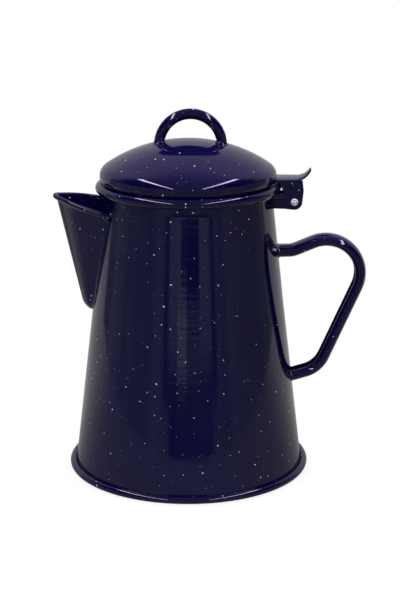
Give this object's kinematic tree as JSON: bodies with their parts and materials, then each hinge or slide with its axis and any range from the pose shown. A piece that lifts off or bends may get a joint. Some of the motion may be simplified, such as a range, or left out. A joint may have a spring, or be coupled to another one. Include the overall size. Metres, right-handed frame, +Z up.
{
  "type": "coffee percolator",
  "caption": "Conical speckled enamel coffee pot with a hinged domed lid, lid loop, V spout, bent handle and a lift-out pump tube with basket and spreader.",
  "frame": {"origin": "on the floor under the middle of the pot's base", "axes": "+Z up along the pot's axis, +X towards the handle and hinge, -X towards the spout"},
  "size_m": [0.1822, 0.142, 0.2128],
  "materials": {
    "speckled_enamel": "dark cobalt vitreous enamel, glossy, with fine white specks",
    "rivet_steel": "bare hammered rivet steel",
    "spun_aluminium": "satin spun aluminium"
  },
  "bodies": {
    "pot": {"pot_shell": "speckled_enamel", "base_pan": "speckled_enamel", "spout": "speckled_enamel", "handle": "speckled_enamel", "hinge_bracket": "speckled_enamel"},
    "lid": {"lid_shell": "speckled_enamel", "lid_loop": "speckled_enamel", "hinge_leaf": "speckled_enamel", "hinge_rivet": "rivet_steel"},
    "pump": {"pump_tube": "spun_aluminium", "pump_well": "spun_aluminium", "basket_stop": "spun_aluminium"},
    "basket": {"basket_cup": "spun_aluminium", "basket_sleeve": "spun_aluminium"},
    "spreader": {"spreader_plate": "spun_aluminium"}
  },
  "joints": [
    {"name": "lid_hinge", "type": "hinge", "parent": "pot", "child": "lid", "pos_m": [0.0609, 0, 0.1601], "axis": [0, 1, 0], "range_deg": [0, 110]},
    {"name": "insert_lift", "type": "slide", "parent": "pot", "child": "pump", "axis": [0, 0, 1], "range_m": [0, 0.015]},
    {"name": "basket_lift", "type": "slide", "parent": "pump", "child": "basket", "axis": [0, 0, 1], "range_m": [0, 0.008]},
    {"name": "spreader_lift", "type": "slide", "parent": "basket", "child": "spreader", "axis": [0, 0, 1], "range_m": [0, 0.006]}
  ]
}
